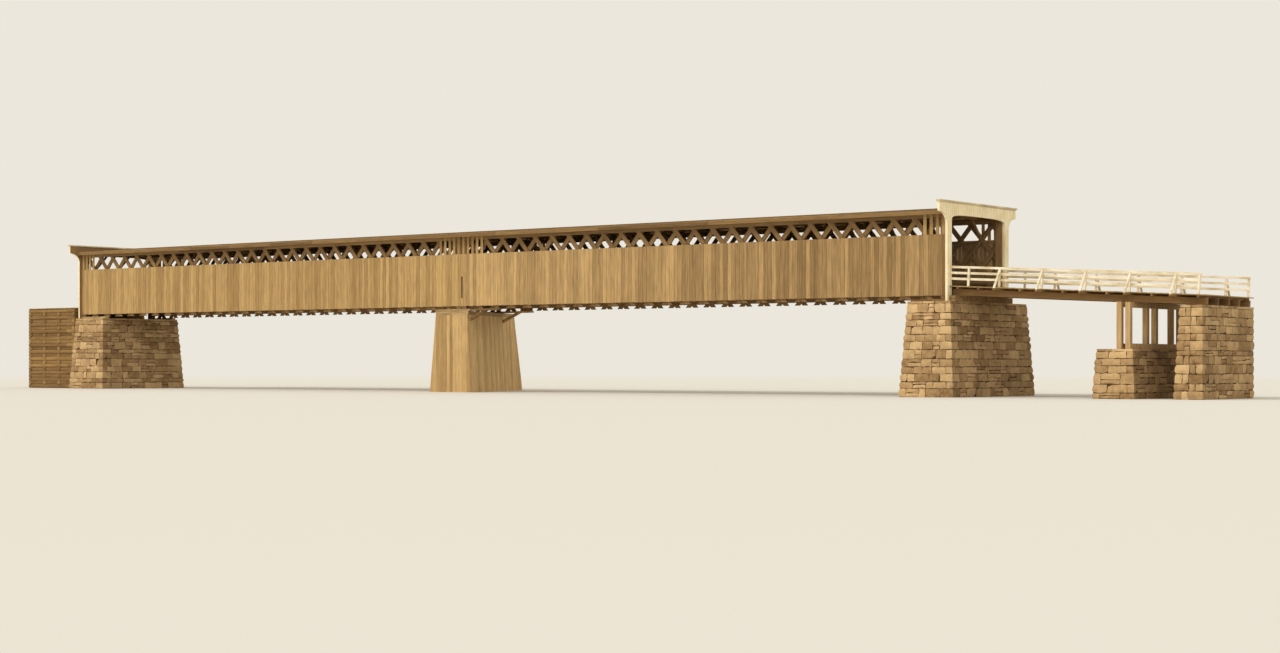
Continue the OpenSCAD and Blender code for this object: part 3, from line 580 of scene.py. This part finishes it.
def lattice_material(name, light, dark):
    """Sawn planks whose streaks lean one way in the inner layer and the other way in the
    outer one. A plank climbs one row in half a pitch."""
    made, tree, shader = dry_surface(name, 0.86)
    place = add(tree, "ShaderNodeTexCoord").outputs["Object"]
    parts = add(tree, "ShaderNodeSeparateXYZ", {0: place})
    across = add(tree, "ShaderNodeMath", {0: parts.outputs[1]}, operation="ABSOLUTE")
    outer = add(tree, "ShaderNodeMath", {0: across.outputs[0], 1: WEB[1]},
                operation="GREATER_THAN")
    lean = math.atan2(PITCH / 2, ROW_RISE)
    grains = []
    for turn in (lean, -lean):
        along = add(tree, "ShaderNodeMapping", {"Vector": place, "Scale": (0.012, 0.012, 0.25),
                    "Rotation": (0, turn, 0)}, vector_type="TEXTURE")
        grains.append(add(tree, "ShaderNodeTexNoise", {"Vector": along.outputs[0], "Scale": 1.0,
                          "Detail": 6.0, "Roughness": 0.66}).outputs["Fac"])
    streaks = add(tree, "ShaderNodeMix", {0: outer.outputs[0], 2: grains[0], 3: grains[1]})
    damp_and_painted_shade = add(tree, "ShaderNodeTexNoise", {"Vector": place, "Scale": 1 / GRIME, "Detail": 3.0})
    share = add(tree, "ShaderNodeMath", {0: damp_and_painted_shade.outputs["Fac"], 1: 0.6, 2: streaks.outputs[0]},
                operation="MULTIPLY_ADD")
    share = add(tree, "ShaderNodeMapRange", {"Value": share.outputs[0], "From Min": 0.45,
                "From Max": 1.15})
    base = add(tree, "ShaderNodeMix", {0: share.outputs[0], 6: linear(dark), 7: linear(light)},
               data_type="RGBA")
    tree.links.new(base.outputs[2], shader.inputs["Base Color"])
    bump = add(tree, "ShaderNodeBump", {"Height": streaks.outputs[0], "Distance": 0.0006,
               "Strength": 0.8})
    tree.links.new(bump.outputs[0], shader.inputs["Normal"])
    return made


lattice_wood = lattice_material("sawn_lattice_planks", LATTICE_LIGHT, LATTICE_DARK)
dress(lattice_wood, "front_lattice_near", "front_lattice_far", "rear_lattice_near",
      "rear_lattice_far")
chord_wood = wood_material("sawn_chord_planks", SAWN_LIGHT, SAWN_DARK, (0.3, 0.01, 0.01),
                           member=(0.9, 0.7, 0.06))
dress(chord_wood, "lower_chords", "top_chords", "siding_rails")
post_wood = wood_material("sawn_truss_posts", SAWN_LIGHT, SAWN_DARK, (0.01, 0.01, 0.3),
                          member=(0.07, 0.7, 2))
dress(post_wood, "truss_end_posts")

# Trunnels: 52 mm oak pegs, two side by side at each crossing, with their ends 12 mm proud.
# The outermost rows stand at a chord plank's inner face. The highest lies under the top
# chord and hangs clear there, and the lower chord's upper planks hide the second row.
PEG = 0.0026            # half of a peg's width
PEG_OUT = 0.0012
PEG_APART = 0.0075      # from the middle of a crossing


def peg_ends(name, side):
    """Six-sided ends: a ring in the plank and a ring past its face, at angles that turn
    from up towards the near end where the end faces the rear, and back where it faces the
    front."""
    bay, row, twin, face = (g.ravel() for g in np.meshgrid(
        np.arange(2 * BAYS[0] + 1, 2 * BAYS[1]), np.arange(ROW_COUNT), (-1, 1), (-1, 1)))
    outermost = (row == 0) | (row == ROW_COUNT - 1)
    keep = ((bay + row) % 2 == 0) & ~(outermost & (face > 0))
    bay, row, twin, face, outermost = (each[keep] for each in (bay, row, twin, face, outermost))
    x = JOINT_X + bay * PITCH / 2 + twin * PEG_APART
    z = FIRST_ROW + row * ROW_RISE
    plank = np.where(face > 0, WEB[2], np.where(outermost, WEB[0] - CHORD, WEB[0]))
    facing = (face * side)[:, None]
    turn = facing * np.arange(6) * math.pi / 3
    ring = np.stack([PEG * np.sin(turn), 0 * turn, PEG * np.cos(turn)], -1)
    middle = np.stack([x, side * plank, z], 1)[:, None]
    depth = np.zeros((len(x), 2, 1, 3))
    depth[:, 0, 0, 1], depth[:, 1, 0, 1] = -PEG_OUT * facing[:, 0], PEG_OUT * facing[:, 0]
    points = (middle + ring)[:, None] + depth
    j = np.arange(6)
    k = (j + 1) % 6
    base = np.arange(len(x))[:, None] * 12
    walls = (np.stack([j, k, k + 6, j + 6], 1)[None] + base[..., None]).reshape(-1, 4)
    caps = (j + 6)[None] + base
    backs = j[::-1][None] + base
    made = piece(name, points, walls.tolist() + caps.tolist() + backs.tolist(), [peg_wood],
                 np.repeat(draw.uniform(0, 1, len(x)), 12))
    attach(made, "root")


peg_wood = wood_material("riven_oak_pegs", "#8a6a42", "#4e3a22", (0.003, 0.02, 0.003))
peg_ends("front_truss_pegs", -1)
peg_ends("rear_truss_pegs", 1)


# Floor: sawn beams on the bottom chords, flat bracing between the trusses, a deck of cross
# planks, and a squared guard on each side.
far_end = JOINT_X + BAYS[0] * PITCH
beam_wood = wood_material("sawn_floor_beams", "#957549", "#593f26", (0.01, 0.3, 0.01),
                          member=(PITCH, 3, 3), first=(far_end, 0, 0))
dress(beam_wood, "floor_beams", "floor_bracing", "roof_bracing")
guard_wood = wood_material("squared_guard_timber", "#a08057", "#604a2d", (0.3, 0.01, 0.01),
                           member=(0.5, 1, 3))
dress(guard_wood, "wheel_guards")
PLANK_WIDE = 0.025
PLANK_SPREAD = 0.003    # how far a plank's width strays
PLANK_GAP = 0.0008
PLANK_SHORT = 0.002     # how far a plank may end inside the deck's edge
PLANK_PLAY = 0.0006     # how far its face may lie below the deck's
PLANK_BEVEL = 0.0006
deck_wood = wood_material("worn_deck_planks", "#b99a69", "#77603c", (0.012, 0.25, 0.012))


def planking(name, node, slope=0.0):
    """Cross planks over a deck's length. On a sloping deck they follow the fall from its
    high end, and each is laid square to the slope."""
    low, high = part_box(node)
    drop = math.tan(slope) * (high.x - low.x)
    thick = (high.z - low.z - drop) * math.cos(slope)
    run = (high.x - low.x) / math.cos(slope)
    middles, widths = cut_up(run, PLANK_WIDE, PLANK_SPREAD)
    x = low.x + middles * math.cos(slope) + thick * math.sin(slope)
    z = high.z - middles * math.sin(slope) - thick
    start = np.stack([x, np.full(len(x), low.y), z], 1)
    end = np.stack([x, np.full(len(x), high.y), z], 1)
    start[:, 1] += draw.uniform(0, PLANK_SHORT, len(x))
    end[:, 1] -= draw.uniform(0, PLANK_SHORT, len(x))
    side = (-math.cos(slope), 0, math.sin(slope))
    depth = thick - draw.uniform(0, PLANK_PLAY, len(x))
    points, faces = bars(start, end, side, widths - PLANK_GAP, depth, PLANK_BEVEL)
    made = piece(name, points, faces, [deck_wood], np.repeat(draw.uniform(0, 1, len(x)), 16))
    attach(made, "root")
    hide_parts(node)


planking("roadway_planks", "roadway_deck")
planking("far_crib_planks", "far_crib_deck")


# Roof frame: tie beams, knee braces and rafters, sawn. They are paler than the wood
# outside, as painted light in the shade under the roof.
UNDER_ROOF_LIFT_LIGHT = "#bd9762"
UNDER_ROOF_LIFT_DARK = "#7b5d38"
first_tie = far_end - PITCH / 2
for node, grain, member, first in (
        ("tie_beams", (0.01, 0.3, 0.01), (PITCH, 3, 3), (first_tie, 0, 0)),
        ("rafters", (0.01, 0.3, 0.01), (PITCH, 3, 3), (far_end, 0, 0)),
        ("knee_braces", (0.01, 0.05, 0.05), (PITCH, 0.5, 3), (first_tie, -0.25, 0))):
    dress(wood_material("sawn_" + node, UNDER_ROOF_LIFT_LIGHT, UNDER_ROOF_LIFT_DARK, grain, member, first), node)


# Roof cover: boards over the rafters with split shingles nailed on in courses, 0.17 m to
# the weather, and sawn boards along the ridge and eaves. Shingles and boarding lie within
# the roof's thickness.
SHINGLE_WIDE = 0.0155
SHINGLE_SPREAD = 0.006  # how far a shingle's width strays
SHINGLE_GAP = 0.0004    # half of the gap between two
SHINGLE_COURSE = 0.0172
SHINGLE_LAP = 1.12      # length of a shingle in courses
SHINGLE_RAGGED = (-0.0012, 0.0006)  # how far a butt strays down the slope
SHINGLE_LIFT = 0.0007   # how far a butt may lie below the roof's face
SHINGLE_HEAD = 0.00128  # how far its head does
BOARDING = 0.0036       # thickness of the boards under the shingles
ROOF_LIGHT = "#a58558"
ROOF_DARK = "#5d4529"
shingle_wood = wood_material("split_shingles", ROOF_LIGHT, ROOF_DARK, (0.008, 0.06, 0.06))
# The boarding is paler as well: painted light on its underside in the shade of the roof
boarding_wood = wood_material("roof_boarding", "#b18c59", "#745735", (0.25, 0.012, 0.012),
                              member=(0.5, 0.03, 3))


def shingles(name, node, hand):
    """One roof slope, from the ridge to the eave of its solid. A shingle stands on the
    boarding and rises in a wedge from its head to its butt, with play in its width, in the
    line of its butt and in its thickness."""
    low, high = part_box(node)
    co = solid_points(node)
    eave_y = high.y if hand > 0 else low.y
    crest = co[abs(co[:, 1]) < SAME]
    eave = co[abs(co[:, 1] - eave_y) < SAME]
    ridge = np.array([0.0, crest[:, 2].max()])
    edge = np.array([eave_y, eave[:, 2].max()])
    thick = crest[:, 2].max() - crest[:, 2].min()
    length = np.linalg.norm(edge - ridge)
    down = (edge - ridge) / length
    normal = np.array([-down[1], down[0]]) * hand
    across = high.x - low.x
    courses = math.ceil(length / SHINGLE_COURSE)
    pitch = length / courses
    cells = []
    for k in range(courses):
        middles, widths = cut_up(across, SHINGLE_WIDE, SHINGLE_SPREAD)
        cells.append(np.stack([middles, widths, np.full(len(widths), (k + 1) * pitch)], 1))
    x, width, butt = np.concatenate(cells).T
    butt = np.minimum(butt + draw.uniform(*SHINGLE_RAGGED, len(x)), length)
    head = np.maximum(butt - pitch * SHINGLE_LAP, 0)
    lift = draw.uniform(-SHINGLE_LIFT, 0, len(x))
    half = width / 2 - SHINGLE_GAP
    left, right = low.x + x - half, low.x + x + half
    bed = BOARDING - thick
    under = np.full(len(x), bed)
    tip = np.full(len(x), -SHINGLE_HEAD)
    corners = []
    for edge_x in (left, right):
        for place, level in ((head, under), (head, tip), (butt, lift), (butt, under)):
            yz = ridge + place[:, None] * down + level[:, None] * normal
            corners.append(np.stack([edge_x, yz[:, 0], yz[:, 1]], 1))
    points = np.stack(corners, 1)
    box = np.array([[0, 1, 2, 3], [7, 6, 5, 4], [1, 5, 6, 2],
                    [2, 6, 7, 3], [0, 4, 5, 1], [3, 7, 4, 0]])
    if hand > 0:
        box = box[:, ::-1]
    faces = (box[None] + np.arange(len(x))[:, None, None] * 8).reshape(-1, 4).tolist()
    slab = []
    for end_x in (low.x, high.x):
        for place, level in ((0, -thick), (0, bed), (length, bed), (length, -thick)):
            yz = ridge + place * down + level * normal
            slab.append((end_x, yz[0], yz[1]))
    faces += (box + len(x) * 8).tolist()
    part = np.concatenate([np.zeros(len(x) * 6), np.ones(6)])
    tone = np.concatenate([np.repeat(draw.uniform(0, 1, len(x)), 8), np.zeros(8)])
    made = piece(name, np.concatenate([points.reshape(-1, 3), np.array(slab)]), faces,
                 [shingle_wood, boarding_wood], tone, part)
    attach(made, "root")
    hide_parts(node)


shingles("front_roof_shingles", "front_roof", -1)
shingles("rear_roof_shingles", "rear_roof", 1)
trim_wood = wood_material("sawn_eaves_boards", "#96764a", "#644a2b", (0.3, 0.008, 0.008),
                          member=(0.42, 0.3, 3))
dress(trim_wood, "roof_trim")


# Walls: upright siding boards, rough sawn and never painted, 0.25 to 0.33 m wide, nailed
# to the rails. They have weathered in streaks, and the near span's are browner, most of
# all by the portal.
SIDING_BOARD = 0.029
SIDING_SPREAD = 0.004   # how far a board's width strays
SIDING_GAP = 0.0010
SIDING_RAGGED = 0.0025  # how far a board's foot may lie above the wall's
SIDING_PLAY = 0.0009    # how far its face may lie behind the wall's
SIDING_BEVEL = 0.0005
SIDING_GRAIN = (0.006, 0.006, 0.22)
SLOT = (0.072, 0.088, 0.620, 0.762)  # its two ends and its foot and head
SIDING_LIGHT = "#c9a66c"
SIDING_DARK = "#8f6e41"
OLD_SIDING_LIGHT = "#d2ad74"
OLD_SIDING_DARK = "#896b43"
BROWNING = 0.63         # of a tone, from the middle pier to the near portal
siding_wood = wood_material("bare_siding_boards", SIDING_LIGHT, SIDING_DARK, SIDING_GRAIN,
                            tones=0.42)
old_siding_wood = wood_material("browned_siding_boards", OLD_SIDING_LIGHT, OLD_SIDING_DARK,
                                SIDING_GRAIN, tones=0.42)


def siding(name, node, hand, wood, slot=None):
    """Boards over a wall panel. slot is (x, x, z, z) of an opening at the panel's end: one
    narrow board as wide as the slot is cut in two by it."""
    low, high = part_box(node)
    first = low.x if slot is None else slot[1]
    middles, widths = cut_up(high.x - first, SIDING_BOARD, SIDING_SPREAD)
    x = first + middles
    foot = low.z + draw.uniform(0, SIDING_RAGGED, len(x))
    head = np.full(len(x), high.z)
    if slot is not None:
        x = np.append(x, [(slot[0] + slot[1]) / 2] * 2)
        widths = np.append(widths, [slot[1] - slot[0]] * 2)
        foot, head = np.append(foot, [low.z, slot[3]]), np.append(head, [slot[2], high.z])
    wall = low.y if hand > 0 else high.y
    start = np.stack([x, np.full(len(x), wall), foot], 1)
    end = np.stack([x, np.full(len(x), wall), head], 1)
    depth = high.y - low.y - draw.uniform(0, SIDING_PLAY, len(x))
    points, faces = bars(start, end, (hand, 0, 0), widths - SIDING_GAP, depth, SIDING_BEVEL)
    tone = draw.uniform(0, 1, len(x)) - BROWNING * np.maximum(x - JOINT_X, 0) / high.x
    made = piece(name, points, faces, [wood], np.repeat(tone, 16))
    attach(made, "root")
    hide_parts(node)


siding("front_siding_near_boards", "front_siding_near", -1, old_siding_wood, SLOT)
siding("front_siding_far_boards", "front_siding_far", -1, siding_wood)
siding("rear_siding_near_boards", "rear_siding_near", 1, old_siding_wood)
siding("rear_siding_far_boards", "rear_siding_far", 1, siding_wood)
strip_wood = wood_material("bare_clerestory_strips", SIDING_LIGHT, SIDING_DARK,
                           (0.010, 0.010, 0.26), member=(0.04, 1, 3))
dress(strip_wood, "clerestory_strips")


# Portals: planed upright boards under oil paint, cream white on the face and the edges
# and bare on the back, with a bed moulding under a cornice that has lost some paint.
PAINT = "#fff1cc"
PAINT_WORN = "#e7d29f"
BARE = "#8d6f48"
PORTAL_BOARD = 0.022    # 0.22 m boards
BOARD_JOINT = "#a38d62"
JOINT_SHARE = 0.05      # of a board's width
COVE = 0.0062           # radius of the bed moulding


def paint_material(name, fresh, worn, grain, wear=0.5, boards=False):
    """Old oil paint: matt, with run marks and thin places where the grain shows. boards
    draws the joints of upright boards, and leaves the side that faces the bridge bare."""
    made, tree, shader = dry_surface(name, 0.6)
    place = add(tree, "ShaderNodeTexCoord")
    along = add(tree, "ShaderNodeMapping", {"Vector": place.outputs["Object"], "Scale": grain},
                vector_type="TEXTURE")
    streaks = add(tree, "ShaderNodeTexNoise", {"Vector": along.outputs[0], "Scale": 1.0,
                  "Detail": 5.0, "Roughness": 0.6}).outputs["Fac"]
    patches = add(tree, "ShaderNodeTexNoise", {"Vector": place.outputs["Object"],
                  "Scale": 1 / 0.09, "Detail": 4.0}).outputs["Fac"]
    mixed = add(tree, "ShaderNodeMath", {0: streaks, 1: patches}, operation="ADD")
    share = add(tree, "ShaderNodeMapRange", {"Value": mixed.outputs[0], "From Min": 0.8,
                "From Max": 0.8 + wear})
    base = add(tree, "ShaderNodeMix", {0: share.outputs[0], 6: linear(fresh), 7: linear(worn)},
               data_type="RGBA").outputs[2]
    if boards:
        spot = add(tree, "ShaderNodeSeparateXYZ", {0: place.outputs["Object"]})
        board = add(tree, "ShaderNodeMath", {0: spot.outputs[1], 1: PORTAL_BOARD},
                    operation="DIVIDE")
        board = add(tree, "ShaderNodeMath", {0: board.outputs[0]}, operation="FRACT")
        joint = add(tree, "ShaderNodeMath", {0: board.outputs[0], 1: JOINT_SHARE},
                    operation="LESS_THAN")
        base = add(tree, "ShaderNodeMix", {0: joint.outputs[0], 6: base,
                   7: linear(BOARD_JOINT)}, data_type="RGBA").outputs[2]
        away = add(tree, "ShaderNodeMath", {0: spot.outputs[0]}, operation="SIGN")
        normal = add(tree, "ShaderNodeSeparateXYZ", {0: place.outputs["Normal"]})
        outward = add(tree, "ShaderNodeMath", {0: normal.outputs[0], 1: away.outputs[0]},
                      operation="MULTIPLY")
        back = add(tree, "ShaderNodeMath", {0: outward.outputs[0], 1: -0.5},
                   operation="LESS_THAN")
        base = add(tree, "ShaderNodeMix", {0: back.outputs[0], 6: base, 7: linear(BARE)},
                   data_type="RGBA").outputs[2]
    tree.links.new(base, shader.inputs["Base Color"])
    bump = add(tree, "ShaderNodeBump", {"Height": streaks, "Distance": 0.0003, "Strength": 0.5})
    tree.links.new(bump.outputs[0], shader.inputs["Normal"])
    return made


portal_paint = paint_material("oil_painted_boards", PAINT, PAINT_WORN, (0.01, 0.01, 0.2),
                              boards=True)
dress(portal_paint, "near_portal_posts", "far_portal_posts", "near_portal_header",
      "far_portal_header")
cornice_paint = paint_material("worn_cornice_paint", "#e6d6ae", "#b39f74", (0.2, 0.2, 0.01))
dress(cornice_paint, "portal_cornices")


def bed_moulding(name, header, toward):
    """A cove under the cornice: a quarter circle, hollow side out, carried along the width
    of the header, with the corner behind it closed."""
    low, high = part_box(header)
    face = high.x if toward > 0 else low.x
    a = np.linspace(0, math.pi / 2, 7)
    x = np.append(face + toward * COVE * (1 - np.cos(a)), face)
    z = np.append(high.z - COVE * (1 - np.sin(a)), high.z)
    y = np.array([low.y, high.y])[:, None] + 0 * x
    points = np.stack([np.broadcast_to(x, y.shape), y, np.broadcast_to(z, y.shape)], -1)
    j = np.arange(8)
    k = (j + 1) % 8
    walls = np.stack([j, j + 8, k + 8, k], 1)
    ends = [j.tolist(), (j + 8)[::-1].tolist()]
    faces = walls.tolist() + ends
    if toward < 0:
        faces = [each[::-1] for each in faces]
    made = piece(name, points, faces, [cornice_paint])
    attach(made, "root")


bed_moulding("near_bed_moulding", "near_portal_header", 1)
bed_moulding("far_bed_moulding", "far_portal_header", -1)


# Near approach: squared stringers, cross beams and a plank deck on a trestle bent, which
# fall away from the portal, with a limewashed post-and-rail fence.
stringer_wood = wood_material("hewn_stringers", "#8e6c41", "#523c22", (0.3, 0.012, 0.012),
                              member=(3, 0.16, 1))
dress(stringer_wood, "approach_stringers")
cross_wood = wood_material("hewn_cross_beams", "#a07b49", "#5d4426", (0.012, 0.3, 0.012),
                           member=(0.127, 3, 3))
dress(cross_wood, "approach_cross_beams")
bent_wood = wood_material("hewn_bent_posts", "#dfbf8a", "#a07f52", (0.012, 0.012, 0.25),
                          member=(0.05, 0.2, 1), tones=0.3)
dress(bent_wood, "trestle_bent")
APPROACH_LENGTH = 1480  # of the deck in millimetres, and its drop
APPROACH_DROP = 78
FALL = math.asin(APPROACH_DROP / APPROACH_LENGTH)
planking("approach_planks", "approach_deck", FALL)
rail_paint = paint_material("limewashed_rails", "#f6ead0", "#cdb88b", (0.12, 0.012, 0.03), 0.45)
dress(rail_paint, "front_railing", "rear_railing")


# Setting: a plain pale floor that fades into a pale surround, a broad soft key from the
# front and far end, a weaker fill from the near end, and the surround's own light. The
# camera stands where the photograph's perspective puts it, at a tenth of the distance.
SURROUND = "#ece7dc"
floor_mesh = bpy.data.meshes.new("floor")
reach = 60.0
floor_mesh.from_pydata([(-reach, -reach, 0), (reach, -reach, 0), (reach, reach, 0),
                        (-reach, reach, 0)], [], [(0, 1, 2, 3)])
floor = bpy.data.objects.new("floor", floor_mesh)
bpy.context.scene.collection.objects.link(floor)
floor_paint, tree, shader = dry_surface("matt_floor", 0.95)
shader.inputs["Base Color"].default_value = linear(SURROUND)
shader.inputs["Specular IOR Level"].default_value = 0.0
place = add(tree, "ShaderNodeTexCoord").outputs["Object"]
distance = add(tree, "ShaderNodeVectorMath", {0: place}, operation="LENGTH")
far_off = add(tree, "ShaderNodeMapRange", {"Value": distance.outputs["Value"], "From Min": 9.0,
              "From Max": 26.0}, interpolation_type="SMOOTHSTEP")
haze = add(tree, "ShaderNodeEmission", {"Color": linear(SURROUND), "Strength": 1.0})
blend = add(tree, "ShaderNodeMixShader", {0: far_off.outputs[0], 1: shader.outputs[0],
            2: haze.outputs[0]})
tree.links.new(blend.outputs[0], tree.nodes["Material Output"].inputs["Surface"])
floor_mesh.materials.append(floor_paint)

world = bpy.data.worlds.new("surround")
world.use_nodes = True
bpy.context.scene.world = world
tree = world.node_tree
seen = add(tree, "ShaderNodeLightPath").outputs["Is Camera Ray"]
strength = add(tree, "ShaderNodeMapRange", {"Value": seen, "To Min": 0.75, "To Max": 1.0})
background = tree.nodes["Background"]
background.inputs["Color"].default_value = linear(SURROUND)
tree.links.new(strength.outputs[0], background.inputs["Strength"])

key = bpy.data.lights.new("key", "SUN")
key.energy = 1.3
key.angle = math.radians(14)
key_lamp = bpy.data.objects.new("key", key)
key_lamp.rotation_euler = (math.radians(48), 0, math.radians(-38))
bpy.context.scene.collection.objects.link(key_lamp)
fill_light = bpy.data.lights.new("fill", "SUN")
fill_light.energy = 0.9
fill_light.angle = math.radians(50)
fill_lamp = bpy.data.objects.new("fill", fill_light)
fill_lamp.rotation_euler = (math.radians(72), 0, math.radians(38))
bpy.context.scene.collection.objects.link(fill_lamp)

camera = bpy.data.cameras.new("camera")
camera.lens = 60.5
camera.sensor_width = 36.0
camera.shift_x = 0.01
camera.shift_y = 0.03
camera.clip_end = 200.0
view_point = bpy.data.objects.new("camera", camera)
view_point.location = (9.528, -10.945, 0.18)
aim = (-0.606, 0.795)  # the level direction that it looks in
view_point.rotation_euler = (math.radians(90), 0, math.atan2(-aim[0], aim[1]))
bpy.context.scene.collection.objects.link(view_point)
bpy.context.scene.camera = view_point
bpy.context.scene.view_settings.view_transform = "Standard"
